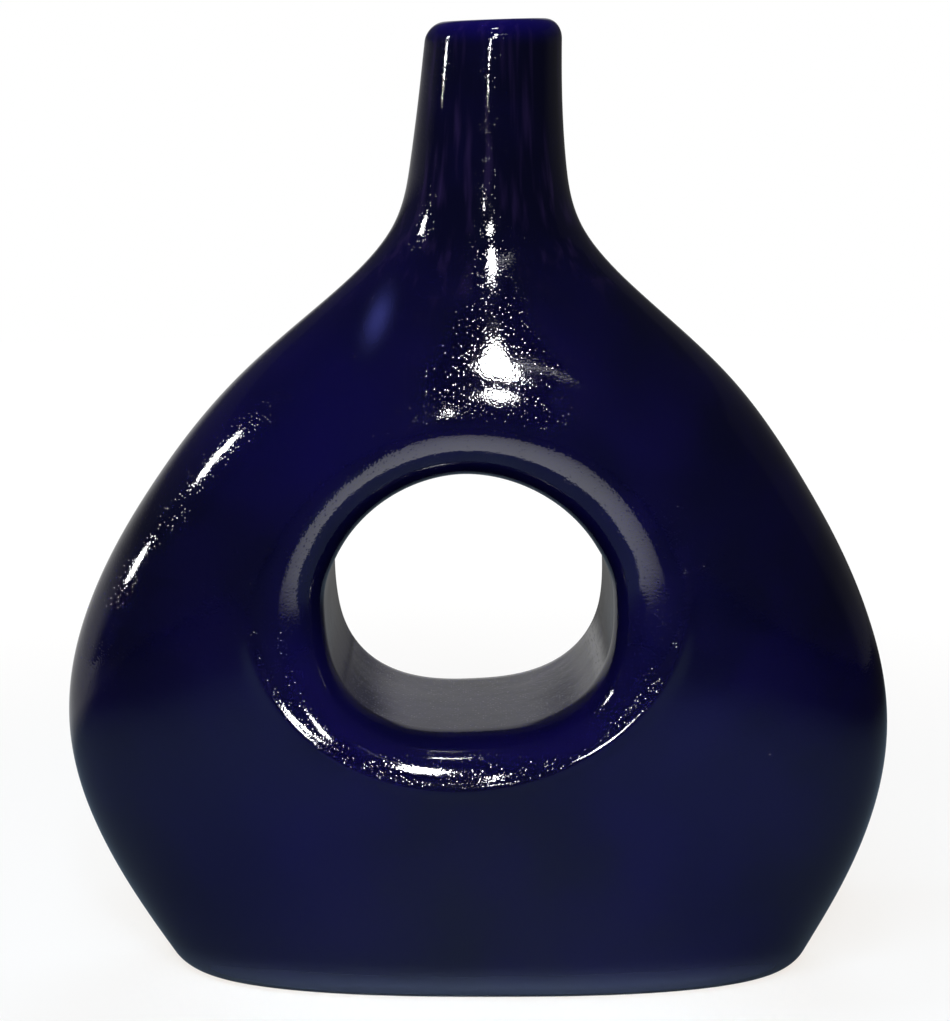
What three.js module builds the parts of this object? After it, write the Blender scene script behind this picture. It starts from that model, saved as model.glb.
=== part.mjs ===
// Bottle vase in glazed stoneware, with an oval eye through its flattened body.
// Two moulded half shells meet at a seam on the plane Y = 0. A sleeve lines the eye between them,
// a neck stands on their shoulders and a slab closes the bottom.
// The pieces are luted with slip before the glaze is fired over them.
// Millimetres, +Z up, the front faces -Y.
// The origin is on the standing plane under the middle of the belly.

import * as THREE from "three";

// Heights of the outline's stations, each measured from the station below it
const lowerBellyRise = 30;
const bellyRise = 38;
const flankRise = 32;
const upperFlankRise = 32;
const shoulderRise = 28;
const upperShoulderRise = 20;
const neckFootRise = 17;
const neckRise = 17;
const rimRise = 36;

// Widths across the stations
const footWidth = 164.8;
const lowerBellyWidth = 198.6;
const bellyWidth = 217.6;
const flankWidth = 203.6;
const upperFlankWidth = 169.6;
const shoulderWidth = 126.2;
const upperShoulderWidth = 81.6;
const neckFootWidth = 50;
const neckWidth = 39.8;
const rimWidth = 34.4;

// Depths from front to back at the stations where the body is flattened
const footDepth = 65;
const bellyDepth = 80;
const upperFlankDepth = 80;
const shoulderDepth = 72;
const neckFootDepth = 45;

// Sideways lean of the hand-finished body at its stations
const footLean = 3.2;
const bellyLean = 0;
const upperFlankLean = 0.2;
const upperShoulderLean = 2.1;
const neckLean = 2.4;
const rimLean = 4;

// Power of the level sections: 2 is an ellipse, more is squarer
const bodySquareness = 2.5;
const neckSquareness = 2;

// The eye: its middle in the front view, its tunnel, which is fuller below the middle than above it,
// and the wider oval where its round lip meets the faces, which reaches further above than below
const eyeOffset = -2.7;
const eyeHeight = 104.5;
const eyeTilt = THREE.MathUtils.degToRad(3);
const tunnelWidth = 73.2;
const tunnelHeight = 66.4;
const tunnelSquarenessAbove = 1.9;
const tunnelSquarenessBelow = 2.6;
const squarenessChange = 0.4;
const sleeveLength = 50;
const lipTilt = THREE.MathUtils.degToRad(8);
const lipWidth = 111.2;
const lipAbove = 49;
const lipBelow = 46;

// Walls, edges and fits
const shellWall = 5;
const sleeveWall = 5;
const slabThickness = 8;
const footRound = 5;
const plugRise = 4;
const spigotDrop = 5;
const spigotWall = 2.5;
const rimWall = 6.2;
const rimRoundOutside = 4.6;
const rimRoundHeight = 5;
const fitClearance = 0.5;

// Facets
const slabSteps = 20;
const seamSteps = 22;
const neckSteps = 16;
const lipSteps = 6;
const faceSteps = 6;
const edgeSteps = 4;
const neckRows = 7;
const boreRows = 5;

const quarterTurn = Math.PI / 2;
const glazeColour = 0x0c0a46;
const glazeRoughness = 0.1;

// Heights above the standing plane
const lowerBellyHeight = lowerBellyRise;
const bellyHeight = lowerBellyHeight + bellyRise;
const flankHeight = bellyHeight + flankRise;
const upperFlankHeight = flankHeight + upperFlankRise;
const shoulderHeight = upperFlankHeight + shoulderRise;
const upperShoulderHeight = shoulderHeight + upperShoulderRise;
const neckFootHeight = upperShoulderHeight + neckFootRise;
const neckHeight = neckFootHeight + neckRise;
const rimHeight = neckHeight + rimRise;

// Smooth curve through [height, value] stations: a natural cubic spline, level beyond its ends.
function splineThrough(stations) {
  const last = stations.length - 1;
  const gap = (i) => stations[i + 1][0] - stations[i][0];
  const slope = (i) => (stations[i + 1][1] - stations[i][1]) / gap(i);
  const share = [0];
  const carried = [0];
  for (let i = 1; i < last; i++) {
    const pivot = 2 * (gap(i - 1) + gap(i)) - gap(i - 1) * share[i - 1];
    share.push(gap(i) / pivot);
    carried.push((6 * (slope(i) - slope(i - 1)) - gap(i - 1) * carried[i - 1]) / pivot);
  }
  const bend = new Array(last + 1).fill(0);
  for (let i = last - 1; i > 0; i--) {
    bend[i] = carried[i] - share[i] * bend[i + 1];
  }
  return (height) => {
    const z = THREE.MathUtils.clamp(height, stations[0][0], stations[last][0]);
    let i = 0;
    while (i < last - 1 && z > stations[i + 1][0]) {
      i++;
    }
    const above = z - stations[i][0];
    const below = stations[i + 1][0] - z;
    const curved = (bend[i] * below ** 3 + bend[i + 1] * above ** 3) / (6 * gap(i));
    const fromLower = stations[i][1] / gap(i) - (bend[i] * gap(i)) / 6;
    const fromUpper = stations[i + 1][1] / gap(i) - (bend[i + 1] * gap(i)) / 6;
    return curved + fromLower * below + fromUpper * above;
  };
}

const halfWidthAt = splineThrough([
  [0, footWidth / 2],
  [lowerBellyHeight, lowerBellyWidth / 2],
  [bellyHeight, bellyWidth / 2],
  [flankHeight, flankWidth / 2],
  [upperFlankHeight, upperFlankWidth / 2],
  [shoulderHeight, shoulderWidth / 2],
  [upperShoulderHeight, upperShoulderWidth / 2],
  [neckFootHeight, neckFootWidth / 2],
  [neckHeight, neckWidth / 2],
  [rimHeight, rimWidth / 2],
]);

const halfDepthAt = splineThrough([
  [0, footDepth / 2],
  [bellyHeight, bellyDepth / 2],
  [upperFlankHeight, upperFlankDepth / 2],
  [shoulderHeight, shoulderDepth / 2],
  [neckFootHeight, neckFootDepth / 2],
  [neckHeight, neckWidth / 2],
  [rimHeight, rimWidth / 2],
]);

const leanAt = splineThrough([
  [0, footLean],
  [bellyHeight, bellyLean],
  [upperFlankHeight, upperFlankLean],
  [upperShoulderHeight, upperShoulderLean],
  [neckHeight, neckLean],
  [rimHeight, rimLean],
]);

function squarenessAt(z) {
  const roundness = THREE.MathUtils.smoothstep(z, upperFlankHeight, neckFootHeight);
  return THREE.MathUtils.lerp(bodySquareness, neckSquareness, roundness);
}

// How far the rounded foot edge draws the wall in at a height.
function footEdge(z) {
  const drop = THREE.MathUtils.clamp(1 - z / footRound, 0, 1);
  return footRound * (1 - Math.sqrt(1 - drop * drop));
}

// The level section of the body at a height, drawn in by an inset.
function sectionAt(z, inset) {
  return {
    middle: leanAt(z),
    across: halfWidthAt(z) - footEdge(z) - inset,
    deep: halfDepthAt(z) - footEdge(z) - inset,
    power: squarenessAt(z),
  };
}

function depthOfSection(section, x) {
  const share = Math.min(Math.abs(x - section.middle) / section.across, 1);
  return section.deep * (1 - share ** section.power) ** (1 / section.power);
}

// A closed level loop round a section, from +X through +Y.
function levelLoop(section, z, halfSteps) {
  const loop = [];
  for (let i = 0; i < 2 * halfSteps; i++) {
    const turn = (Math.PI * i) / halfSteps;
    const x = section.middle + section.across * Math.cos(turn);
    loop.push(new THREE.Vector3(x, Math.sign(Math.sin(turn)) * depthOfSection(section, x), z));
  }
  return loop;
}

// Distance from the eye's middle to its tunnel, grown by a wall, along a direction of the front view.
// The squareness changes smoothly where the direction turns from below the middle to above it.
function tunnelReach(directionX, directionZ, grown) {
  const along = directionX * Math.cos(eyeTilt) + directionZ * Math.sin(eyeTilt);
  const aside = directionZ * Math.cos(eyeTilt) - directionX * Math.sin(eyeTilt);
  const above = THREE.MathUtils.smoothstep(aside, -squarenessChange, squarenessChange);
  const power = THREE.MathUtils.lerp(tunnelSquarenessBelow, tunnelSquarenessAbove, above);
  const acrossShare = Math.abs(along) / (tunnelWidth / 2 + grown);
  const upShare = Math.abs(aside) / (tunnelHeight / 2 + grown);
  return (acrossShare ** power + upShare ** power) ** (-1 / power);
}

// Distance from the eye's middle to the lip's outer edge along the same direction.
function lipReach(directionX, directionZ) {
  const along = directionX * Math.cos(lipTilt) + directionZ * Math.sin(lipTilt);
  const aside = directionZ * Math.cos(lipTilt) - directionX * Math.sin(lipTilt);
  return 1 / Math.hypot(along / (lipWidth / 2), aside / (aside < 0 ? lipBelow : lipAbove));
}

// The edge of a half shell in the front view: slab line, right seam, neck line, left seam.
function shellEdge(inset) {
  const low = sectionAt(slabThickness, inset);
  const high = sectionAt(neckFootHeight, inset);
  const edge = [];
  for (let i = 0; i < slabSteps; i++) {
    const x = low.middle - low.across * Math.cos((Math.PI * i) / slabSteps);
    edge.push({ x, z: slabThickness, onSeam: i === 0 });
  }
  for (let i = 0; i < seamSteps; i++) {
    const z = THREE.MathUtils.lerp(slabThickness, neckFootHeight, i / seamSteps);
    edge.push({ x: sectionAt(z, inset).middle + sectionAt(z, inset).across, z, onSeam: true });
  }
  for (let i = 0; i < neckSteps; i++) {
    const x = high.middle + high.across * Math.cos((Math.PI * i) / neckSteps);
    edge.push({ x, z: neckFootHeight, onSeam: i === 0 });
  }
  for (let i = 0; i < seamSteps; i++) {
    const z = THREE.MathUtils.lerp(neckFootHeight, slabThickness, i / seamSteps);
    edge.push({ x: sectionAt(z, inset).middle - sectionAt(z, inset).across, z, onSeam: true });
  }
  return edge;
}

// One skin of a half shell as loops round the eye, from the throat out to the shell's edge.
function shellSkin(side, inset, grown) {
  const steps = lipSteps + faceSteps;
  const edge = shellEdge(inset);
  const rows = [];
  for (let step = 0; step <= steps; step++) {
    rows.push(
      edge.map((end) => {
        const reach = Math.hypot(end.x - eyeOffset, end.z - eyeHeight);
        const directionX = (end.x - eyeOffset) / reach;
        const directionZ = (end.z - eyeHeight) / reach;
        const throat = tunnelReach(directionX, directionZ, grown);
        const lip = lipReach(directionX, directionZ) - throat;
        const lipTurn = quarterTurn * Math.min(step / lipSteps, 1);
        const outward = Math.max(step - lipSteps, 0) / faceSteps;
        const beyondLip = (reach - throat - lip) * (1 - (1 - outward) ** 2);
        const radius = throat + lip * (1 - Math.cos(lipTurn)) + beyondLip;
        const x = eyeOffset + radius * directionX;
        const z = eyeHeight + radius * directionZ;
        const face = depthOfSection(sectionAt(z, inset), x);
        const tunnelEnd = sleeveLength / 2;
        const depth = tunnelEnd + (face - tunnelEnd) * Math.sin(lipTurn);
        const onSeam = end.onSeam && step === steps;
        return new THREE.Vector3(x, onSeam ? 0 : side * depth, z);
      }),
    );
  }
  return rows;
}

// A closed surface over loops of equal count.
// The last loop joins the first, or both ends are capped from their middles.
function skinOver(loops, capped) {
  const around = loops[0].length;
  const points = loops.flat();
  const triangles = [];
  const bands = capped ? loops.length - 1 : loops.length;
  for (let row = 0; row < bands; row++) {
    for (let i = 0; i < around; i++) {
      const next = (i + 1) % around;
      const a = row * around + i;
      const b = row * around + next;
      const c = ((row + 1) % loops.length) * around + next;
      const d = ((row + 1) % loops.length) * around + i;
      triangles.push(a, b, c, a, c, d);
    }
  }
  if (capped) {
    const lastStart = (loops.length - 1) * around;
    for (let i = 0; i < around; i++) {
      const next = (i + 1) % around;
      triangles.push(points.length, next, i);
      triangles.push(points.length + 1, lastStart + i, lastStart + next);
    }
    for (const loop of [loops[0], loops[loops.length - 1]]) {
      points.push(loop.reduce((sum, point) => sum.add(point), new THREE.Vector3()).divideScalar(around));
    }
  }
  let volume = 0;
  for (let i = 0; i < triangles.length; i += 3) {
    const [a, b, c] = triangles.slice(i, i + 3).map((index) => points[index]);
    volume += a.dot(new THREE.Vector3().crossVectors(b, c));
  }
  if (volume < 0) {
    triangles.reverse();
  }
  const geometry = new THREE.BufferGeometry().setFromPoints(points);
  geometry.setIndex(triangles);
  geometry.computeVertexNormals();
  return geometry;
}

// A moulded half shell: its glazed outside runs from the throat to the seam, and its inside runs back.
function halfShell(side) {
  const outside = shellSkin(side, 0, 0);
  const inside = shellSkin(side, shellWall, sleeveWall);
  return skinOver([...outside, ...inside.reverse()], false);
}

// The tube that lines the eye between the two shells.
function eyeSleeve() {
  const ends = [-sleeveLength / 2, sleeveLength / 2];
  const ringAt = (y, grown) =>
    shellEdge(0).map(({ x, z }) => {
      const reach = Math.hypot(x - eyeOffset, z - eyeHeight);
      const directionX = (x - eyeOffset) / reach;
      const directionZ = (z - eyeHeight) / reach;
      const radius = tunnelReach(directionX, directionZ, grown);
      return new THREE.Vector3(eyeOffset + radius * directionX, y, eyeHeight + radius * directionZ);
    });
  const bore = ends.map((y) => ringAt(y, 0));
  const back = ends.map((y) => ringAt(y, sleeveWall)).reverse();
  return skinOver([...bore, ...back], false);
}

// The bottle neck: it stands on the shoulders, its spigot drops into their opening,
// and its rim is rolled over.
function bottleNeck() {
  const rows = [];
  for (let i = 0; i <= neckRows; i++) {
    const z = THREE.MathUtils.lerp(neckFootHeight, rimHeight - rimRoundHeight, i / neckRows);
    rows.push(levelLoop(sectionAt(z, 0), z, neckSteps));
  }
  for (let i = 1; i <= edgeSteps; i++) {
    const turn = (quarterTurn * i) / edgeSteps;
    const z = rimHeight - rimRoundHeight * (1 - Math.sin(turn));
    rows.push(levelLoop(sectionAt(z, rimRoundOutside * (1 - Math.cos(turn))), z, neckSteps));
  }
  const rimRoundInside = rimWall - rimRoundOutside;
  for (let i = 1; i <= edgeSteps; i++) {
    const turn = (quarterTurn * i) / edgeSteps;
    const z = rimHeight - rimRoundInside * (1 - Math.cos(turn));
    rows.push(levelLoop(sectionAt(z, rimRoundOutside + rimRoundInside * Math.sin(turn)), z, neckSteps));
  }
  const boreTop = rimHeight - rimRoundInside;
  const spigotEnd = neckFootHeight - spigotDrop;
  const mouth = sectionAt(boreTop, rimWall);
  const spigot = sectionAt(neckFootHeight, shellWall + fitClearance);
  const spigotBore = sectionAt(neckFootHeight, shellWall + fitClearance + spigotWall);
  for (let i = 1; i <= boreRows; i++) {
    const share = i / boreRows;
    const bore = {
      middle: THREE.MathUtils.lerp(mouth.middle, spigotBore.middle, share),
      across: THREE.MathUtils.lerp(mouth.across, spigotBore.across, share),
      deep: THREE.MathUtils.lerp(mouth.deep, spigotBore.deep, share),
      power: neckSquareness,
    };
    rows.push(levelLoop(bore, THREE.MathUtils.lerp(boreTop, spigotEnd, share), neckSteps));
  }
  rows.push(levelLoop(spigot, spigotEnd, neckSteps));
  rows.push(levelLoop(spigot, neckFootHeight, neckSteps));
  return skinOver(rows, false);
}

// The base: a slab with a rounded foot edge, and a plug on it that locates the shells.
function baseSlab() {
  const rows = [];
  for (let i = 0; i <= edgeSteps; i++) {
    const z = footRound * (1 - Math.cos((quarterTurn * i) / edgeSteps));
    rows.push(levelLoop(sectionAt(z, 0), z, slabSteps));
  }
  const plug = sectionAt(slabThickness, shellWall + fitClearance);
  rows.push(levelLoop(sectionAt(slabThickness, 0), slabThickness, slabSteps));
  rows.push(levelLoop(plug, slabThickness, slabSteps));
  rows.push(levelLoop(plug, slabThickness + plugRise, slabSteps));
  return skinOver(rows, true);
}

// A piece under its fired glaze.
function glazed(name, geometry) {
  const material = new THREE.MeshStandardMaterial({
    color: glazeColour,
    roughness: glazeRoughness,
    metalness: 0,
  });
  const piece = new THREE.Mesh(geometry, material);
  piece.name = name;
  return piece;
}

const vase = new THREE.Group();
vase.add(
  glazed("base_slab", baseSlab()),
  glazed("front_shell", halfShell(-1)),
  glazed("rear_shell", halfShell(1)),
  glazed("eye_sleeve", eyeSleeve()),
  glazed("neck", bottleNeck()),
);

export default vase;
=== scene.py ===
# Bottle vase in cobalt-glazed stoneware, with an oval eye through its flattened body.
# Metres, +Z up, and the front looks along -Y.
# The origin is on the standing plane, under the middle of the belly.

import math

import bpy
import numpy as np
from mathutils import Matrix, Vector, noise


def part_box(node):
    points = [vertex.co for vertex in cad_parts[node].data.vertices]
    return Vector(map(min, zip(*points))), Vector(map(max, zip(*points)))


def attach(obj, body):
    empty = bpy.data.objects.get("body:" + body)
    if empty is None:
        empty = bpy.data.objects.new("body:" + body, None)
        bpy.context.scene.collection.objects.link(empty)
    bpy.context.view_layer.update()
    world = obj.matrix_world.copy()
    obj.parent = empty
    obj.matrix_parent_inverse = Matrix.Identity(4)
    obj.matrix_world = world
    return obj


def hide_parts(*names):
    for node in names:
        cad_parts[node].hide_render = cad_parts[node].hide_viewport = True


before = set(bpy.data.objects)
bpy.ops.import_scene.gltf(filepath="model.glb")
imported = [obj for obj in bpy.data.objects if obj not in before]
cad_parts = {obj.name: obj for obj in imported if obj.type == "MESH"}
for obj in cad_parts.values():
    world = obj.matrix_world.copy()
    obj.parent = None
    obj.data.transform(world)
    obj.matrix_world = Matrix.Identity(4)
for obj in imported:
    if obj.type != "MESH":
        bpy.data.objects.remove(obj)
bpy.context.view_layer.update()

# Half shells
# The front and the rear of the body, pressed from stoneware in two moulds and luted along the seam at Y = 0.
# Each rolls over a round lip into the eye, and one cobalt glaze is fired over both.

slab_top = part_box("front_shell")[0].z
neck_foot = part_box("front_shell")[1].z
rim_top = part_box("neck")[1].z
tunnel_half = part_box("eye_sleeve")[1].y

lower_belly_height = 0.030
belly_height = 0.068
flank_height = 0.100
upper_flank_height = 0.132
shoulder_height = 0.160
upper_shoulder_height = 0.180
neck_waist_height = 0.214

foot_width = 0.1648
lower_belly_width = 0.1986
belly_width = 0.2176
flank_width = 0.2036
upper_flank_width = 0.1696
shoulder_width = 0.1262
upper_shoulder_width = 0.0816
neck_foot_width = 0.050
neck_waist_width = 0.0398
rim_width = 0.0344

foot_depth = 0.065
belly_depth = 0.080
upper_flank_depth = 0.080
shoulder_depth = 0.072
neck_foot_depth = 0.045

foot_lean = 0.0032
belly_lean = 0.0
upper_flank_lean = 0.0002
upper_shoulder_lean = 0.0021
neck_waist_lean = 0.0024
rim_lean = 0.004

body_squareness = 2.5
neck_squareness = 2.0
foot_round = 0.005
shell_wall = 0.005

eye_x = -0.0027
eye_z = 0.1045
eye_tilt = math.radians(3)
tunnel_width = 0.0732
tunnel_height = 0.0664
tunnel_squareness_above = 1.9
tunnel_squareness_below = 2.6
squareness_change = 0.4
lip_tilt = math.radians(8)
lip_width = 0.1112
lip_above = 0.049
lip_below = 0.046
sleeve_wall = 0.005

slab_line_steps = 96
seam_steps = 110
neck_line_steps = 48
outer_lip_steps = 40
outer_face_steps = 44
inner_lip_steps = 6
inner_face_steps = 10
face_spacing = 1.5


def curve_through(*stations):
    """A smooth curve through (height, value) stations: a natural cubic spline, level beyond its ends."""
    heights = np.array([station[0] for station in stations])
    values = np.array([station[1] for station in stations])
    gaps = np.diff(heights)
    slopes = np.diff(values) / gaps
    system = np.diag(2 * (gaps[:-1] + gaps[1:]))
    system += np.diag(gaps[1:-1], 1)
    system += np.diag(gaps[1:-1], -1)
    bends = np.zeros(len(heights))
    bends[1:-1] = np.linalg.solve(system, 6 * np.diff(slopes))

    def value_at(height):
        z = np.clip(height, heights[0], heights[-1])
        i = np.clip(np.searchsorted(heights, z) - 1, 0, len(gaps) - 1)
        above = z - heights[i]
        below = heights[i + 1] - z
        curved = (bends[i] * below**3 + bends[i + 1] * above**3) / (6 * gaps[i])
        from_lower = values[i] / gaps[i] - bends[i] * gaps[i] / 6
        from_upper = values[i + 1] / gaps[i] - bends[i + 1] * gaps[i] / 6
        return curved + from_lower * below + from_upper * above

    return value_at


half_width_at = curve_through(
    (0.0, foot_width / 2),
    (lower_belly_height, lower_belly_width / 2),
    (belly_height, belly_width / 2),
    (flank_height, flank_width / 2),
    (upper_flank_height, upper_flank_width / 2),
    (shoulder_height, shoulder_width / 2),
    (upper_shoulder_height, upper_shoulder_width / 2),
    (neck_foot, neck_foot_width / 2),
    (neck_waist_height, neck_waist_width / 2),
    (rim_top, rim_width / 2),
)
half_depth_at = curve_through(
    (0.0, foot_depth / 2),
    (belly_height, belly_depth / 2),
    (upper_flank_height, upper_flank_depth / 2),
    (shoulder_height, shoulder_depth / 2),
    (neck_foot, neck_foot_depth / 2),
    (neck_waist_height, neck_waist_width / 2),
    (rim_top, rim_width / 2),
)
lean_at = curve_through(
    (0.0, foot_lean),
    (belly_height, belly_lean),
    (upper_flank_height, upper_flank_lean),
    (upper_shoulder_height, upper_shoulder_lean),
    (neck_waist_height, neck_waist_lean),
    (rim_top, rim_lean),
)


def smooth_rise(value, start, end):
    """0 up to start, 1 from end on, and a smooth rise between them."""
    share = np.clip((value - start) / (end - start), 0, 1)
    return share * share * (3 - 2 * share)


def squareness_at(z):
    """The power of the level section: an ellipse at the neck, squarer down the body."""
    roundness = smooth_rise(z, upper_flank_height, neck_foot)
    return body_squareness + (neck_squareness - body_squareness) * roundness


def foot_edge(z):
    """How far the rounded foot edge draws the wall in at a height."""
    drop = np.clip(1 - z / foot_round, 0, 1)
    return foot_round * (1 - np.sqrt(1 - drop * drop))


def half_across(z, inset):
    """Half the level section's width at a height, drawn in by an inset."""
    return half_width_at(z) - foot_edge(z) - inset


def depth_at(x, z, inset):
    """How far the level section stands off the plane Y = 0."""
    power = squareness_at(z)
    share = np.clip(np.abs(x - lean_at(z)) / half_across(z, inset), 0, 1)
    deep = half_depth_at(z) - foot_edge(z) - inset
    return deep * (1 - share**power) ** (1 / power)


def tunnel_reach(toward_x, toward_z, grown):
    """From the eye's middle to its tunnel, grown by a wall, in the front view: fuller below than above."""
    along = toward_x * math.cos(eye_tilt) + toward_z * math.sin(eye_tilt)
    aside = toward_z * math.cos(eye_tilt) - toward_x * math.sin(eye_tilt)
    above = smooth_rise(aside, -squareness_change, squareness_change)
    power = tunnel_squareness_below + (tunnel_squareness_above - tunnel_squareness_below) * above
    across_share = np.abs(along) / (tunnel_width / 2 + grown)
    up_share = np.abs(aside) / (tunnel_height / 2 + grown)
    return (across_share**power + up_share**power) ** (-1 / power)


def lip_reach(toward_x, toward_z):
    """From the eye's middle to the outer edge of its lip, which lies further out above it than below."""
    along = toward_x * math.cos(lip_tilt) + toward_z * math.sin(lip_tilt)
    aside = toward_z * math.cos(lip_tilt) - toward_x * math.sin(lip_tilt)
    return 1 / np.hypot(along / (lip_width / 2), aside / np.where(aside < 0, lip_below, lip_above))


def shell_edge(inset):
    """The shell's edge in the front view: the slab line, the right seam, the neck line and the left seam."""
    slab_turn = np.pi * np.arange(slab_line_steps) / slab_line_steps
    neck_turn = np.pi * np.arange(neck_line_steps) / neck_line_steps
    seam_rise = slab_top + (neck_foot - slab_top) * np.arange(seam_steps) / seam_steps
    seam_fall = neck_foot - (neck_foot - slab_top) * np.arange(seam_steps) / seam_steps
    x = np.concatenate([
        lean_at(slab_top) - half_across(slab_top, inset) * np.cos(slab_turn),
        lean_at(seam_rise) + half_across(seam_rise, inset),
        lean_at(neck_foot) + half_across(neck_foot, inset) * np.cos(neck_turn),
        lean_at(seam_fall) - half_across(seam_fall, inset),
    ])
    z = np.concatenate([
        np.full(slab_line_steps, slab_top),
        seam_rise,
        np.full(neck_line_steps, neck_foot),
        seam_fall,
    ])
    on_seam = np.concatenate([
        np.arange(slab_line_steps) == 0,
        np.full(seam_steps, True),
        np.arange(neck_line_steps) == 0,
        np.full(seam_steps, True),
    ])
    return x, z, on_seam


def toward_edge(inset):
    """Directions and distances from the eye's middle to the shell's edge."""
    edge_x, edge_z, _ = shell_edge(inset)
    reach = np.hypot(edge_x - eye_x, edge_z - eye_z)
    return (edge_x - eye_x) / reach, (edge_z - eye_z) / reach, reach


def shell_skin(side, inset, grown, lip_steps, face_steps):
    """One skin of a half shell as loops round the eye, from the throat out to the shell's edge."""
    toward_x, toward_z, reach = toward_edge(inset)
    on_seam = shell_edge(inset)[2]
    throat = tunnel_reach(toward_x, toward_z, grown)
    lip = lip_reach(toward_x, toward_z) - throat
    loops = []
    for step in range(lip_steps + face_steps + 1):
        lip_turn = math.pi / 2 * min(step / lip_steps, 1)
        outward = max(step - lip_steps, 0) / face_steps
        beyond_lip = (reach - throat - lip) * (1 - (1 - outward**face_spacing) ** 2)
        radius = throat + lip * (1 - math.cos(lip_turn)) + beyond_lip
        x = eye_x + radius * toward_x
        z = eye_z + radius * toward_z
        depth = tunnel_half + (depth_at(x, z, inset) - tunnel_half) * math.sin(lip_turn)
        if step == lip_steps + face_steps:
            depth[on_seam] = 0
        loops.append(np.column_stack([x, side * depth, z]))
    return loops


def clay_piece(name, loops, skin_bands, capped=False):
    """A closed piece over loops of equal count, with its first bands marked as the skin that shows.

    The last loop joins the first, or both ends are capped from their middles."""
    around = len(loops[0])
    points = np.concatenate(loops)
    row = np.arange(len(loops) - 1 if capped else len(loops))[:, None] * around
    here = np.arange(around)[None, :]
    after = (here + 1) % around
    above = (row + around) % (len(loops) * around)
    quads = np.stack([row + here, row + after, above + after, above + here], axis=-1).reshape(-1, 4)
    faces = quads.tolist()
    if capped:
        last = (len(loops) - 1) * around
        low_middle = len(points)
        for i in range(around):
            following = (i + 1) % around
            faces.append([low_middle, following, i])
            faces.append([low_middle + 1, last + i, last + following])
        points = np.vstack([points, loops[0].mean(axis=0), loops[-1].mean(axis=0)])
    corners = points[quads]
    leaning = np.cross(corners[:, 2] - corners[:, 0], corners[:, 3] - corners[:, 1])
    outward = np.einsum("ij,ij->", corners.mean(axis=1) - points.mean(axis=0), leaning)
    if outward < 0:
        faces = [face[::-1] for face in faces]
    mesh = bpy.data.meshes.new(name)
    mesh.from_pydata(points.tolist(), [], faces)
    shows = np.arange(len(faces)) < skin_bands * around
    mesh.attributes.new("skin", "BOOLEAN", "FACE").data.foreach_set("value", shows)
    piece = bpy.data.objects.new(name, mesh)
    bpy.context.scene.collection.objects.link(piece)
    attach(piece, "root")
    return piece


def half_shell(name, side):
    """A half shell: its glazed outside runs from the throat to the seam, and its inside runs back."""
    outside = shell_skin(side, 0.0, 0.0, outer_lip_steps, outer_face_steps)
    inside = shell_skin(side, shell_wall, sleeve_wall, inner_lip_steps, inner_face_steps)
    return clay_piece(name, outside + inside[::-1], outer_lip_steps + outer_face_steps)


front = half_shell("front_half", -1)
rear = half_shell("rear_half", 1)
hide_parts("front_shell")
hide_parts("rear_shell")

# The cobalt glaze is the same coat on every piece: deep blue where it lies thick, with faint runs down the
# neck, soft waves, and a fine pitted skin that breaks lamps into sparkles. Painted light brightens it on the
# rim, the lip and the left shoulder, painted floor reflections lighten the lower sides and the foot, and a
# smear where it ran thinner is paler.

glaze = bpy.data.materials.new("cobalt_glaze")
glaze.use_nodes = True
glaze_nodes = glaze.node_tree.nodes
glaze_links = glaze.node_tree.links
glaze_shader = glaze_nodes["Principled BSDF"]
glaze_refraction = 1.52
glaze_shader.inputs["IOR"].default_value = glaze_refraction
deep_cobalt = (0.0008, 0.0010, 0.0065, 1.0)
mid_cobalt = (0.0018, 0.0013, 0.0195, 1.0)
# Painted light: the brighter blue for the rim, the lip and the left shoulder painted as lit, for the painted
# reflection on the lower sides, and for the smear.
painted_light_and_smear_blue = (0.0040, 0.0010, 0.10, 1.0)
run_violet = (0.010, 0.006, 0.032, 1.0)
# Painted reflection: the pale grey blue that stands for the floor mirrored at the foot, also used for the
# paler smear.
foot_reflection_and_smear_blue = (0.07, 0.09, 0.15, 1.0)

mottle_scale = 42.0
mottle_detail = 4.0
mottle_span = (0.35, 0.68)
mottle_amount = (0.2, 0.7)
run_squeeze = (330.0, 330.0, 14.0)
run_detail = 2.0
run_span = (0.5, 0.75)
run_amount = (0.0, 0.9)
run_heights = (0.17, 0.21)
sheen_scale = 95.0
sheen_detail = 3.0
sheen_span = (0.35, 0.7)
sheen_roughness = (0.03, 0.06)

pit_scale = 1500.0
pit_depth = 0.00003
pit_bowl_span = (0.0, 0.45)
pit_lot_span = (0.4, 1.0)
pit_amount = (0.05, 1.0)
grain_scale = 1800.0
grain_depth = 0.000013
peel_scale = 260.0
peel_depth = 0.00002
ripple_scale = 70.0
ripple_detail = 1.0
ripple_depth = 0.00008

on_the_vase = glaze_nodes.new("ShaderNodeTexCoord")


def glaze_noise(scale, detail, squeeze=(1.0, 1.0, 1.0)):
    """Noise over the vase, with features of about 1/scale metres."""
    placing = glaze_nodes.new("ShaderNodeMapping")
    placing.inputs["Scale"].default_value = squeeze
    grain = glaze_nodes.new("ShaderNodeTexNoise")
    grain.inputs["Scale"].default_value = scale
    grain.inputs["Detail"].default_value = detail
    glaze_links.new(on_the_vase.outputs["Object"], placing.inputs["Vector"])
    glaze_links.new(placing.outputs["Vector"], grain.inputs["Vector"])
    return grain.outputs["Fac"]


def glaze_range(source, span, amount):
    """A value brought from one span to another, smoothly and no further."""
    ranging = glaze_nodes.new("ShaderNodeMapRange")
    ranging.interpolation_type = "SMOOTHSTEP"
    ranging.inputs["From Min"].default_value = span[0]
    ranging.inputs["From Max"].default_value = span[1]
    ranging.inputs["To Min"].default_value = amount[0]
    ranging.inputs["To Max"].default_value = amount[1]
    glaze_links.new(source, ranging.inputs["Value"])
    return ranging.outputs["Result"]


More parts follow.
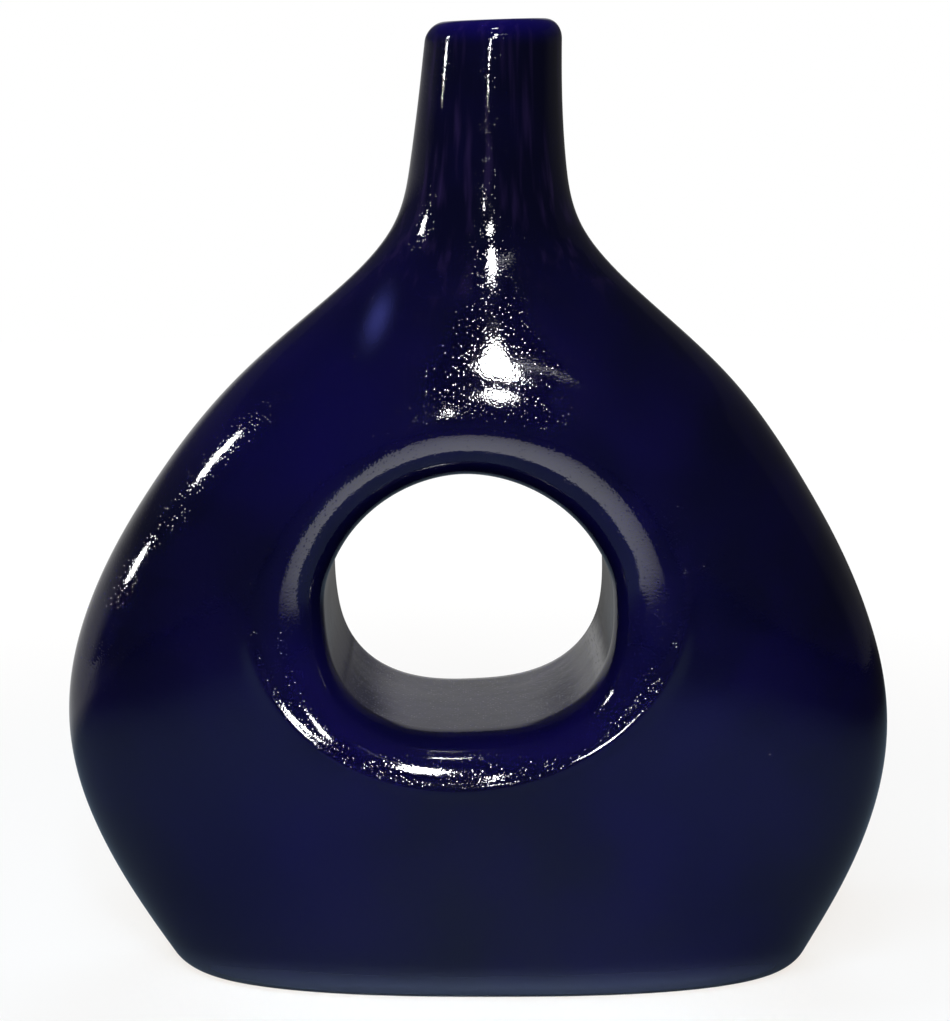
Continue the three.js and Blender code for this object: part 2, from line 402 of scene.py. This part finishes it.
def glaze_mix(factor, first, second):
    """A mix of two colours, each a plain colour or another mix."""
    mixing = glaze_nodes.new("ShaderNodeMix")
    mixing.data_type = "RGBA"
    glaze_links.new(factor, mixing.inputs["Factor"])
    for colour, socket in ((first, mixing.inputs[6]), (second, mixing.inputs[7])):
        if isinstance(colour, tuple):
            socket.default_value = colour
        else:
            glaze_links.new(colour, socket)
    return mixing.outputs[2]


def glaze_sum(first, factor, second):
    """first times factor, plus second where there is one."""
    adding = glaze_nodes.new("ShaderNodeMath")
    adding.operation = "MULTIPLY_ADD"
    glaze_links.new(first, adding.inputs[0])
    adding.inputs[1].default_value = factor
    adding.inputs[2].default_value = 0.0
    if second is not None:
        glaze_links.new(second, adding.inputs[2])
    return adding.outputs["Value"]


# This map carries painted light, a painted reflection and the smear.
painted_light_and_smear_map = glaze_nodes.new("ShaderNodeAttribute")
painted_light_and_smear_map.attribute_name = "painted_light_and_smear"
mottle = glaze_range(glaze_noise(mottle_scale, mottle_detail), mottle_span, mottle_amount)
height_on_vase = glaze_nodes.new("ShaderNodeSeparateXYZ")
glaze_links.new(on_the_vase.outputs["Object"], height_on_vase.inputs["Vector"])
on_neck = glaze_range(height_on_vase.outputs["Z"], run_heights, (0.0, 1.0))
runs = glaze_range(glaze_noise(1.0, run_detail, run_squeeze), run_span, run_amount)
neck_runs = glaze_nodes.new("ShaderNodeMath")
neck_runs.operation = "MULTIPLY"
glaze_links.new(runs, neck_runs.inputs[0])
glaze_links.new(on_neck, neck_runs.inputs[1])
# Painted reflection of the floor at the foot, and the paler smear.
painted_foot_reflection_and_smear = glaze_nodes.new("ShaderNodeAttribute")
painted_foot_reflection_and_smear.attribute_name = "painted_foot_reflection_and_smear"
coat = glaze_mix(mottle, deep_cobalt, mid_cobalt)
coat = glaze_mix(neck_runs.outputs["Value"], coat, run_violet)
coat = glaze_mix(painted_light_and_smear_map.outputs["Fac"], coat, painted_light_and_smear_blue)
coat = glaze_mix(painted_foot_reflection_and_smear.outputs["Fac"], coat, foot_reflection_and_smear_blue)
glaze_links.new(coat, glaze_shader.inputs["Base Color"])
sheen_patches = glaze_range(glaze_noise(sheen_scale, sheen_detail), sheen_span, sheen_roughness)
glaze_links.new(sheen_patches, glaze_shader.inputs["Roughness"])

pits = glaze_nodes.new("ShaderNodeTexVoronoi")
pits.inputs["Scale"].default_value = pit_scale
glaze_links.new(on_the_vase.outputs["Object"], pits.inputs["Vector"])
pit_bowl = glaze_range(pits.outputs["Distance"], pit_bowl_span, (1.0, 0.0))
pit_lot = glaze_nodes.new("ShaderNodeSeparateColor")
glaze_links.new(pits.outputs["Color"], pit_lot.inputs["Color"])
pit_share = glaze_range(pit_lot.outputs["Red"], pit_lot_span, pit_amount)
pitting = glaze_nodes.new("ShaderNodeMath")
pitting.operation = "MULTIPLY"
glaze_links.new(pit_bowl, pitting.inputs[0])
glaze_links.new(pit_share, pitting.inputs[1])
relief = glaze_sum(pitting.outputs["Value"], -pit_depth, None)
relief = glaze_sum(glaze_noise(grain_scale, 0.0), grain_depth, relief)
relief = glaze_sum(glaze_noise(peel_scale, 0.0), peel_depth, relief)
relief = glaze_sum(glaze_noise(ripple_scale, ripple_detail), ripple_depth, relief)
glaze_bump = glaze_nodes.new("ShaderNodeBump")
glaze_bump.inputs["Distance"].default_value = 1.0
glaze_links.new(relief, glaze_bump.inputs["Height"])
glaze_links.new(glaze_bump.outputs["Normal"], glaze_shader.inputs["Normal"])

for shell in (front, rear):
    shell.data.materials.append(glaze)

# Eye sleeve
# A short oval tube of stoneware that lines the eye between the two shells.
# It is butted to the shells' throats with slip, and the glaze runs through it without a break.

sleeve_rows = 16


def sleeve_ring(y, grown):
    """A ring round the eye on the directions that the shells use."""
    toward_x, toward_z, _ = toward_edge(0.0)
    radius = tunnel_reach(toward_x, toward_z, grown)
    return np.column_stack([eye_x + radius * toward_x, np.full(len(radius), y), eye_z + radius * toward_z])


through = np.linspace(-tunnel_half, tunnel_half, sleeve_rows + 1)
bore_loops = [sleeve_ring(y, 0.0) for y in through]
back_loops = [sleeve_ring(y, sleeve_wall) for y in (tunnel_half, -tunnel_half)]
sleeve = clay_piece("eye_lining", bore_loops + back_loops, sleeve_rows)
sleeve.data.materials.append(glaze)
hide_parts("eye_sleeve")

# Base slab
# A stoneware slab that closes the bottom, with a rounded foot edge and a plug that locates the shells on it.
# Its edge is glazed with the body, and its underside is wiped bare so that it doesn't stick in the kiln.

fit_clearance = 0.0005
plug_rise = 0.004
foot_edge_steps = 12
flank_steps = 4


def level_loop(z, inset, half_steps):
    """A closed level loop round the section at a height, from +X through +Y."""
    turn = np.pi * np.arange(2 * half_steps) / half_steps
    x = lean_at(z) + half_across(z, inset) * np.cos(turn)
    side = np.where(turn < np.pi, 1.0, -1.0)
    return np.column_stack([x, side * depth_at(x, z, inset), np.full(len(turn), z)])


foot_turn = np.linspace(0, np.pi / 2, foot_edge_steps + 1)
flank_rise = np.linspace(foot_round, slab_top, flank_steps + 1)[1:]
slab_heights = np.concatenate([foot_round * (1 - np.cos(foot_turn)), flank_rise])
slab_loops = [level_loop(z, 0.0, slab_line_steps) for z in slab_heights]
plug_foot = level_loop(slab_top, shell_wall + fit_clearance, slab_line_steps)
plug_top = plug_foot + np.array([0.0, 0.0, plug_rise])
slab_rows = foot_edge_steps + flank_steps
slab = clay_piece("foot_slab", slab_loops + [plug_foot, plug_top], slab_rows, capped=True)

clay_roughness = 0.85
clay_grain_scale = 900.0
clay_grain_detail = 4.0
clay_grain_depth = 0.0002
clay_dark = (0.30, 0.23, 0.16, 1.0)
clay_light = (0.50, 0.41, 0.31, 1.0)
clay_dark_up_to = 0.3
clay_light_from = 0.6
clay = bpy.data.materials.new("bare_clay")
clay.use_nodes = True
clay_nodes = clay.node_tree.nodes
clay_links = clay.node_tree.links
clay_shader = clay_nodes["Principled BSDF"]
clay_shader.inputs["Roughness"].default_value = clay_roughness
on_the_foot = clay_nodes.new("ShaderNodeTexCoord")
clay_grain = clay_nodes.new("ShaderNodeTexNoise")
clay_grain.inputs["Scale"].default_value = clay_grain_scale
clay_grain.inputs["Detail"].default_value = clay_grain_detail
clay_links.new(on_the_foot.outputs["Object"], clay_grain.inputs["Vector"])
clay_colours = clay_nodes.new("ShaderNodeValToRGB")
clay_colours.color_ramp.elements[0].position = clay_dark_up_to
clay_colours.color_ramp.elements[0].color = clay_dark
clay_colours.color_ramp.elements[1].position = clay_light_from
clay_colours.color_ramp.elements[1].color = clay_light
clay_links.new(clay_grain.outputs["Fac"], clay_colours.inputs["Fac"])
clay_links.new(clay_colours.outputs["Color"], clay_shader.inputs["Base Color"])
clay_bump = clay_nodes.new("ShaderNodeBump")
clay_bump.inputs["Distance"].default_value = clay_grain_depth
clay_links.new(clay_grain.outputs["Fac"], clay_bump.inputs["Height"])
clay_links.new(clay_bump.outputs["Normal"], clay_shader.inputs["Normal"])

wiped_rows = 2
slab.data.materials.append(glaze)
slab.data.materials.append(clay)
for face in slab.data.polygons:
    height = face.center.z
    face.material_index = 1 if height < slab_heights[wiped_rows] or height > slab_top else 0
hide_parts("base_slab")

# Neck
# The bottle neck is thrown from stoneware and stands on the shoulders; a spigot under it drops between them.
# Its rim is rolled over and sponged round, and the glaze runs down inside it.

spigot_drop = 0.005
spigot_wall = 0.0025
rim_wall = 0.0062
rim_round_outside = 0.0046
rim_round_height = 0.005
neck_rows = 64
rim_steps = 14
bore_rows = 30

neck_loops = []
for z in np.linspace(neck_foot, rim_top - rim_round_height, neck_rows + 1):
    neck_loops.append(level_loop(z, 0.0, neck_line_steps))
for turn in np.linspace(0, np.pi / 2, rim_steps + 1)[1:]:
    z = rim_top - rim_round_height * (1 - math.sin(turn))
    neck_loops.append(level_loop(z, rim_round_outside * (1 - math.cos(turn)), neck_line_steps))
rim_round_inside = rim_wall - rim_round_outside
for turn in np.linspace(0, np.pi / 2, rim_steps + 1)[1:]:
    z = rim_top - rim_round_inside * (1 - math.cos(turn))
    neck_loops.append(level_loop(z, rim_round_outside + rim_round_inside * math.sin(turn), neck_line_steps))
spigot = level_loop(neck_foot, shell_wall + fit_clearance, neck_line_steps)
spigot_bore = level_loop(neck_foot, shell_wall + fit_clearance + spigot_wall, neck_line_steps)
spigot_end = spigot_bore - np.array([0.0, 0.0, spigot_drop])
mouth = neck_loops[-1]
for share in np.linspace(0, 1, bore_rows + 1)[1:]:
    neck_loops.append(mouth + (spigot_end - mouth) * share)
skin_rows = len(neck_loops) - 1
neck_loops.append(spigot - np.array([0.0, 0.0, spigot_drop]))
neck_loops.append(spigot)
neck = clay_piece("bottle_neck", neck_loops, skin_rows)
neck.data.materials.append(glaze)
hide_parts("neck")

# Fired skin
# Slip and glaze join the five pieces into one skin, with slow waves of the sponged clay over all of them,
# a low ridge along the eye's lip and a tipped rim, and the shading crosses the joints without a break.
# Painted light brightens the blue on the rim, the lip and the left shoulder, painted reflections of the floor
# lighten the lower sides and the foot, and the glaze is thinner and paler in a smear.

glazed_pieces = (front, rear, sleeve, slab, neck)
wave_length = 0.045
wave_height = 0.00035
calm_foot_height = 0.012
ridge_height = 0.0009
ridge_half_width = 0.0018
ridge_inset = 0.0005
ridge_share_below = 0.7
ridge_end = (-0.15, 0.35)
rim_slope = 0.035
rim_tip_height = 0.012
meeting_grid = 1e6

# Painted light: the eye's lip is painted a brighter blue, as if light falls on it.
painted_lip_light = 0.07
painted_lip_light_from = (0.05, 0.35)
painted_lip_light_to = (0.5, 0.95)
lip_start = 0.98
# Painted light: the left shoulder is painted a brighter blue, as if lit by the lamps on the left.
painted_shoulder_light = 0.12
painted_shoulder_light_out = (0.0, 0.05)
painted_shoulder_light_heights = (0.12, 0.15)
# Painted reflection: the lower sides are painted lighter, standing for the floor mirrored in them.
painted_side_reflection = 0.08
painted_side_reflection_out = (0.0, 0.06)
painted_side_reflection_heights = (0.05, 0.11)
smear_thinness = 0.7
smear_paleness = 0.2
smear_x = -0.025
smear_z = 0.177
smear_lean = 0.3
smear_half_width = 0.0026
smear_half_length = 0.0055
# Painted light: the top of the rim is painted a brighter blue, as if lit from above.
painted_rim_light = 0.45
painted_rim_light_height = 0.007
# Painted reflection: the foot's rounding is painted paler, standing for the floor mirrored in it.
painted_foot_reflection = 0.5
painted_foot_reflection_height = 0.014


def skin_corners(piece):
    """The corners of the piece's showing faces, as point numbers, four to a face."""
    mesh = piece.data
    shows = np.empty(len(mesh.polygons), bool)
    mesh.attributes["skin"].data.foreach_get("value", shows)
    starts = np.empty(len(mesh.polygons), int)
    mesh.polygons.foreach_get("loop_start", starts)
    corner_points = np.empty(len(mesh.loops), int)
    mesh.loops.foreach_get("vertex_index", corner_points)
    loops = starts[shows][:, None] + np.arange(4)[None, :]
    return loops, corner_points[loops]


def piece_points(piece):
    """The piece's points as rows of x, y and z."""
    points = np.empty(len(piece.data.vertices) * 3)
    piece.data.vertices.foreach_get("co", points)
    return points.reshape(-1, 3)


def shared_normals():
    """For each piece, the outward directions at its showing corners, shared with the pieces that it meets."""
    places = []
    leanings = []
    for glazed in glazed_pieces:
        points = piece_points(glazed)
        corners = skin_corners(glazed)[1]
        diagonals = points[corners]
        leaning = np.cross(diagonals[:, 2] - diagonals[:, 0], diagonals[:, 3] - diagonals[:, 1])
        places.append(diagonals.reshape(-1, 3))
        leanings.append(np.repeat(leaning, 4, axis=0))
    rounded = np.round(np.concatenate(places) * meeting_grid).astype(np.int64)
    joint = np.unique(rounded, axis=0, return_inverse=True)[1].reshape(-1)
    total = np.zeros((joint.max() + 1, 3))
    np.add.at(total, joint, np.concatenate(leanings))
    total /= np.linalg.norm(total, axis=1, keepdims=True)
    ends = np.cumsum([len(place) for place in places])[:-1]
    return np.split(total[joint], ends)


def across_lip(points):
    """Where points lie by the eye's lip: the share of the way across it, how far past its edge,
    and how far to the side or below the eye, which is 0 above it."""
    toward_x = points[:, 0] - eye_x
    toward_z = points[:, 2] - eye_z
    reach = np.hypot(toward_x, toward_z)
    throat = tunnel_reach(toward_x / reach, toward_z / reach, 0.0)
    lip = lip_reach(toward_x / reach, toward_z / reach)
    low_or_side = np.maximum(np.abs(toward_x), -ridge_share_below * toward_z) / reach
    low_or_side = low_or_side * (1 - smooth_rise(toward_z / reach, *ridge_end))
    return (reach - throat) / (lip - throat), reach - lip, low_or_side


for glazed, normals in zip(glazed_pieces, shared_normals()):
    points = piece_points(glazed)
    moved = points.copy()
    corners = skin_corners(glazed)[1].reshape(-1)
    showing, first = np.unique(corners, return_index=True)
    past_lip, sideways = across_lip(points)[1:]
    ridge = ridge_height * sideways * np.exp(-(((past_lip + ridge_inset) / ridge_half_width) ** 2))
    for point, outward in zip(showing, normals[first]):
        place = points[point]
        stands_off = wave_height * noise.noise(Vector(place) / wave_length)
        stands_off = stands_off * smooth_rise(place[2], 0.0, calm_foot_height) + ridge[point]
        moved[point] = place + outward * stands_off
    near_rim = smooth_rise(moved[:, 2], rim_top - rim_tip_height, rim_top)
    moved[:, 2] += rim_slope * (moved[:, 0] - rim_lean) * near_rim
    glazed.data.vertices.foreach_set("co", moved.reshape(-1))
    glazed.data.update()

for glazed, normals in zip(glazed_pieces, shared_normals()):
    mesh = glazed.data
    loops = skin_corners(glazed)[0].reshape(-1)
    flat = np.empty(len(mesh.polygons) * 3)
    mesh.polygons.foreach_get("normal", flat)
    corner_counts = np.empty(len(mesh.polygons), int)
    mesh.polygons.foreach_get("loop_total", corner_counts)
    directions = np.repeat(flat.reshape(-1, 3), corner_counts, axis=0)
    directions[loops] = normals
    mesh.polygons.foreach_set("use_smooth", np.full(len(mesh.polygons), True))
    mesh.normals_split_custom_set(directions.tolist())
    points = piece_points(glazed)
    across = across_lip(points)[0]
    x, y, z = points.T
    # Painted light on the lip: a brighter blue across it, at the front and at the rear.
    on_lip = smooth_rise(across, *painted_lip_light_from) * (1 - smooth_rise(across, *painted_lip_light_to))
    light_and_smear_share = np.where(np.abs(y) > tunnel_half * lip_start, painted_lip_light * on_lip, 0.0)
    # Painted light on the left shoulder: a brighter blue on the left and high up.
    painted_shoulder_light_mask = smooth_rise(-x, *painted_shoulder_light_out) * smooth_rise(z, *painted_shoulder_light_heights)
    light_and_smear_share = np.maximum(light_and_smear_share, painted_shoulder_light * painted_shoulder_light_mask)
    # Painted reflection of the floor on the lower sides, away from the middle.
    painted_side_reflection_mask = smooth_rise(np.abs(x), *painted_side_reflection_out) * (1 - smooth_rise(z, *painted_side_reflection_heights))
    light_and_smear_share = np.maximum(light_and_smear_share, painted_side_reflection * painted_side_reflection_mask)
    smear_aside = (x - smear_x - smear_lean * (z - smear_z)) / smear_half_width
    smear_along = (z - smear_z) / smear_half_length
    smear = np.where(y < 0, np.exp(-(smear_aside**2) - smear_along**2), 0.0)
    light_and_smear_share = np.maximum(light_and_smear_share, smear_thinness * smear)
    # Painted light on the rim's top: a brighter blue.
    light_and_smear_share = np.maximum(light_and_smear_share, painted_rim_light * smooth_rise(z, rim_top - painted_rim_light_height, rim_top))
    mesh.attributes.new("painted_light_and_smear", "FLOAT", "POINT").data.foreach_set("value", light_and_smear_share)
    # Painted reflection of the floor on the foot's rounding, with the smear's paleness added.
    foot_reflection_band = 1 - smooth_rise(z, 0.0, painted_foot_reflection_height)
    reflection_and_smear_paleness = painted_foot_reflection * foot_reflection_band**2 + smear_paleness * smear
    mesh.attributes.new("painted_foot_reflection_and_smear", "FLOAT", "POINT").data.foreach_set("value", reflection_and_smear_paleness)

# Stage
# A pale floor and a pale paper backdrop curved round behind the vase, plain and soft.
# Both are white to the camera, and the floor keeps the shadow under the foot.
# The glaze mirrors them dimly: most from the left, little from the right, and not from the floor close by.

white = (1.0, 1.0, 1.0, 1.0)
black = (0.0, 0.0, 0.0, 1.0)
rightward = (1.0, 0.0, 0.0)
rearward = (0.0, 1.0, 0.0)
upward = (0.0, 0.0, 1.0)
seen_rays = ("Is Camera Ray", "Is Transmission Ray")
mirrored_rays = ("Is Glossy Ray",)
stage_roughness = 0.9

floor_radius = 2.2
floor_steps = 96
floor_near = (0.10, 0.135, 0.175, 1.0)
floor_white_near = (1.0, 0.952, 0.897, 1.0)
floor_far = (0.02, 0.02, 0.02, 1.0)
floor_glow_near = 0.83
floor_glow_far = 0.995
floor_fade = (0.22, 0.5)
floor_mirrored_left = 0.45
floor_mirrored_middle = 0.11
floor_mirrored_right = 0.04
floor_left_span = (-0.15, -0.05)
floor_right_span = (0.12, 0.35)
floor_rear_span = (-0.1, 0.15)
floor_close_by = (-0.5, 0.87, 0.0)
floor_close_span = (0.19, 0.33)

backdrop_radius = 1.5
backdrop_height = 1.0
backdrop_half_angle = math.radians(85)
backdrop_steps = 48
backdrop_mirrored_middle = 0.34
backdrop_mirrored_left = 0.40
backdrop_mirrored_right = 0.08
backdrop_mirrored_high = 0.05
backdrop_middle_span = (1.455, 1.497)
backdrop_side_span = (-0.5, 0.5)
backdrop_rear_span = (0.1, 0.5)
backdrop_high_span = (0.1, 0.5)
surround_mirrored = 0.03


def stage_piece(name, points, faces, colour):
    """A matt stage surface. Returns the nodes of its paint."""
    mesh = bpy.data.meshes.new(name)
    mesh.from_pydata(points, [], faces)
    surface = bpy.data.objects.new(name, mesh)
    bpy.context.scene.collection.objects.link(surface)
    paint = bpy.data.materials.new(name)
    paint.use_nodes = True
    shader = paint.node_tree.nodes["Principled BSDF"]
    shader.inputs["Base Color"].default_value = colour
    shader.inputs["Roughness"].default_value = stage_roughness
    shader.inputs["Specular IOR Level"].default_value = 0.0
    shader.inputs["Emission Color"].default_value = white
    mesh.materials.append(paint)
    return paint.node_tree


def feed(tree, value, socket):
    """Put a plain number on a socket, or link another node's output to it."""
    if isinstance(value, float):
        socket.default_value = value
    else:
        tree.links.new(value, socket)


def graded(tree, along, span, first, last):
    """A value that goes from first to last over a span, along a direction or outward from the vase."""
    place = tree.nodes.new("ShaderNodeNewGeometry")
    measure = tree.nodes.new("ShaderNodeVectorMath")
    tree.links.new(place.outputs["Position"], measure.inputs[0])
    if along is None:
        measure.operation = "LENGTH"
    else:
        measure.operation = "DOT_PRODUCT"
        measure.inputs[1].default_value = along
    grading = tree.nodes.new("ShaderNodeMapRange")
    grading.interpolation_type = "SMOOTHSTEP"
    grading.inputs["From Min"].default_value = span[0]
    grading.inputs["From Max"].default_value = span[1]
    feed(tree, first, grading.inputs["To Min"])
    feed(tree, last, grading.inputs["To Max"])
    tree.links.new(measure.outputs["Value"], grading.inputs["Value"])
    return grading.outputs["Result"]


def glow_to(tree, rays, strength, base):
    """The strength where a ray is one of those named, added to a base."""
    path = tree.nodes.new("ShaderNodeLightPath")
    named = path.outputs[rays[0]]
    for ray in rays[1:]:
        either = tree.nodes.new("ShaderNodeMath")
        either.operation = "MAXIMUM"
        tree.links.new(named, either.inputs[0])
        tree.links.new(path.outputs[ray], either.inputs[1])
        named = either.outputs["Value"]
    glow = tree.nodes.new("ShaderNodeMath")
    glow.operation = "MULTIPLY_ADD"
    tree.links.new(named, glow.inputs[0])
    feed(tree, strength, glow.inputs[1])
    feed(tree, base, glow.inputs[2])
    return glow.outputs["Value"]


floor_turn = np.linspace(0, 2 * np.pi, floor_steps + 1)[:-1]
floor_points = [(floor_radius * math.cos(t), floor_radius * math.sin(t), 0.0) for t in floor_turn]
floor_paint = stage_piece("floor", floor_points, [list(range(floor_steps))], floor_near)
floor_shader = floor_paint.nodes["Principled BSDF"]
far_away = graded(floor_paint, None, floor_fade, 0.0, 1.0)
for near, far, socket in (
    (floor_near, floor_far, floor_shader.inputs["Base Color"]),
    (floor_white_near, white, floor_shader.inputs["Emission Color"]),
):
    fading = floor_paint.nodes.new("ShaderNodeMix")
    fading.data_type = "RGBA"
    fading.inputs[6].default_value = near
    fading.inputs[7].default_value = far
    floor_paint.links.new(far_away, fading.inputs["Factor"])
    floor_paint.links.new(fading.outputs[2], socket)
floor_left = graded(floor_paint, rightward, floor_left_span, floor_mirrored_left, floor_mirrored_middle)
floor_side = graded(floor_paint, rightward, floor_right_span, floor_left, floor_mirrored_right)
floor_rear = graded(floor_paint, rearward, floor_rear_span, surround_mirrored, floor_side)
floor_behind = graded(floor_paint, floor_close_by, floor_close_span, 0.0, floor_rear)
floor_in_glaze = glow_to(floor_paint, mirrored_rays, floor_behind, 0.0)
floor_glow = graded(floor_paint, None, floor_fade, floor_glow_near, floor_glow_far)
floor_seen = glow_to(floor_paint, seen_rays, floor_glow, floor_in_glaze)
floor_paint.links.new(floor_seen, floor_shader.inputs["Emission Strength"])

sweep = np.linspace(-backdrop_half_angle, backdrop_half_angle, backdrop_steps + 1)
backdrop_points = []
for height in (0.0, backdrop_height):
    for t in sweep:
        backdrop_points.append((backdrop_radius * math.sin(t), backdrop_radius * math.cos(t), height))
backdrop_faces = []
for i in range(backdrop_steps):
    backdrop_faces.append([i, i + 1, backdrop_steps + 2 + i, backdrop_steps + 1 + i])
backdrop_paint = stage_piece("backdrop", backdrop_points, backdrop_faces, black)
backdrop_shader = backdrop_paint.nodes["Principled BSDF"]
side_mirrored = graded(
    backdrop_paint, rightward, backdrop_side_span, backdrop_mirrored_left, backdrop_mirrored_right
)
rear_mirrored = graded(backdrop_paint, rearward, backdrop_rear_span, surround_mirrored, side_mirrored)
low_mirrored = graded(backdrop_paint, upward, backdrop_high_span, rear_mirrored, backdrop_mirrored_high)
middle_mirrored = graded(backdrop_paint, rearward, backdrop_middle_span, 0.0, backdrop_mirrored_middle)
low_in_glaze = glow_to(backdrop_paint, mirrored_rays, low_mirrored, 0.0)
backdrop_in_glaze = glow_to(backdrop_paint, mirrored_rays, middle_mirrored, low_in_glaze)
backdrop_seen = glow_to(backdrop_paint, seen_rays, 1.0, backdrop_in_glaze)
backdrop_paint.links.new(backdrop_seen, backdrop_shader.inputs["Emission Strength"])

world = bpy.data.worlds.new("studio")
bpy.context.scene.world = world
world.use_nodes = True
surround = world.node_tree.nodes["Background"]
surround.inputs["Color"].default_value = white
surround_seen = glow_to(world.node_tree, ("Is Camera Ray",), 1.0 - surround_mirrored, surround_mirrored)
world.node_tree.links.new(surround_seen, surround.inputs["Strength"])

# Lamps
# Two broad soft panels overhead, before and behind, light the clay evenly and are not mirrored.
# Small soft boxes give the glaze its sparkles, and narrow ones reach one stretch of rim, flank or lip each.
# A low card before the vase is what the eye's upper lip mirrors.

aim = Vector((0.0, 0.0, 0.12))
panel_elevation = 50
panel_distance = 1.8
panel_width = 1.2
panel_height = 0.9
box_distance = 1.2
narrow_box_distance = 0.5
card_width = 0.06
card_length = 0.17
card_watts = 0.064
card_place = (0.008, -0.165, 0.085)
card_spread = math.radians(160)
facing_up = (0.0, 1.0, 0.0, 0.0)


def soft_box(name, azimuth, elevation, distance, wide, tall, watts):
    """A soft box at an azimuth from the front and a height angle, turned to the vase."""
    lamp = bpy.data.lights.new(name, "AREA")
    lamp.shape = "ELLIPSE"
    lamp.size = wide
    lamp.size_y = tall
    lamp.energy = watts
    box = bpy.data.objects.new(name, lamp)
    bpy.context.scene.collection.objects.link(box)
    a = math.radians(azimuth)
    e = math.radians(elevation)
    away = Vector((math.sin(a) * math.cos(e), -math.cos(a) * math.cos(e), math.sin(e)))
    box.location = aim + away * distance
    box.rotation_mode = "QUATERNION"
    box.rotation_quaternion = away.to_track_quat("Z", "Y")
    box.visible_camera = False
    return box


for name, azimuth, watts in (("soft_panel", -15, 26.0), ("rear_panel", 165, 16.0)):
    panel = soft_box(name, azimuth, panel_elevation, panel_distance, panel_width, panel_height, watts)
    panel.visible_glossy = False
soft_box("front_box", 4, 35, box_distance, 0.12, 0.14, 4.2)
soft_box("middle_front_box", 3, 24, box_distance, 0.12, 0.10, 2.0)
soft_box("low_front_box", -5.5, 17.5, box_distance, 0.03, 0.04, 0.25)
soft_box("high_front_box", 0, 68, box_distance, 0.16, 0.05, 1.2)
soft_box("left_box", -86, 27, box_distance, 0.11, 0.20, 4.5)
soft_box("right_box", 14, 35.5, box_distance, 0.42, 0.02, 0.12)


def narrow_box(name, azimuth, elevation, wide, tall, watts, lit, spread):
    """A small soft box close by, whose light goes only to one stretch of the glaze."""
    box = soft_box(name, azimuth, elevation, narrow_box_distance, wide, tall, watts)
    away = box.location - aim
    box.location = Vector(lit) + away
    box.data.spread = math.radians(spread)


narrow_box("flank_box", -95, 12.7, 0.05, 0.05, 0.0016, (-0.087, -0.022, 0.114), 6)
narrow_box("rim_front_box", -5, 8, 0.02, 0.02, 0.00006, (0.003, -0.017, 0.244), 2)
narrow_box("rim_left_box", -84, 8.2, 0.02, 0.02, 0.00006, (-0.0075, -0.013, 0.244), 2)
narrow_box("low_lip_box", 4, 33, 0.15, 0.20, 0.085, (0.003, -0.038, 0.064), 8)
narrow_box("left_lip_box", 17, 9, 0.10, 0.07, 0.006, (-0.045, -0.038, 0.073), 8)
narrow_box("right_lip_box", -19, 14, 0.16, 0.07, 0.010, (0.032, -0.039, 0.074), 8)

card = soft_box("lip_card", 0, 0, 1.0, card_width, card_length, card_watts)
card.data.shape = "RECTANGLE"
card.location = card_place
card.rotation_quaternion = facing_up
card.data.spread = card_spread

# Camera
# At the photograph's place: in front of the vase and a little lower than its rim, looking down at its body.

image_height = 1021
focal_pixels = 2400
sensor_width = 36.0
camera_place = (-0.00092, -0.620, 0.240)
look_down = 10.63
camera_data = bpy.data.cameras.new("camera")
camera_data.sensor_width = sensor_width
camera_data.lens = sensor_width * focal_pixels / image_height
camera = bpy.data.objects.new("camera", camera_data)
bpy.context.scene.collection.objects.link(camera)
camera.location = camera_place
camera.rotation_euler = (math.radians(90 - look_down), 0.0, 0.0)
bpy.context.scene.camera = camera
bpy.context.scene.view_settings.view_transform = "Standard"
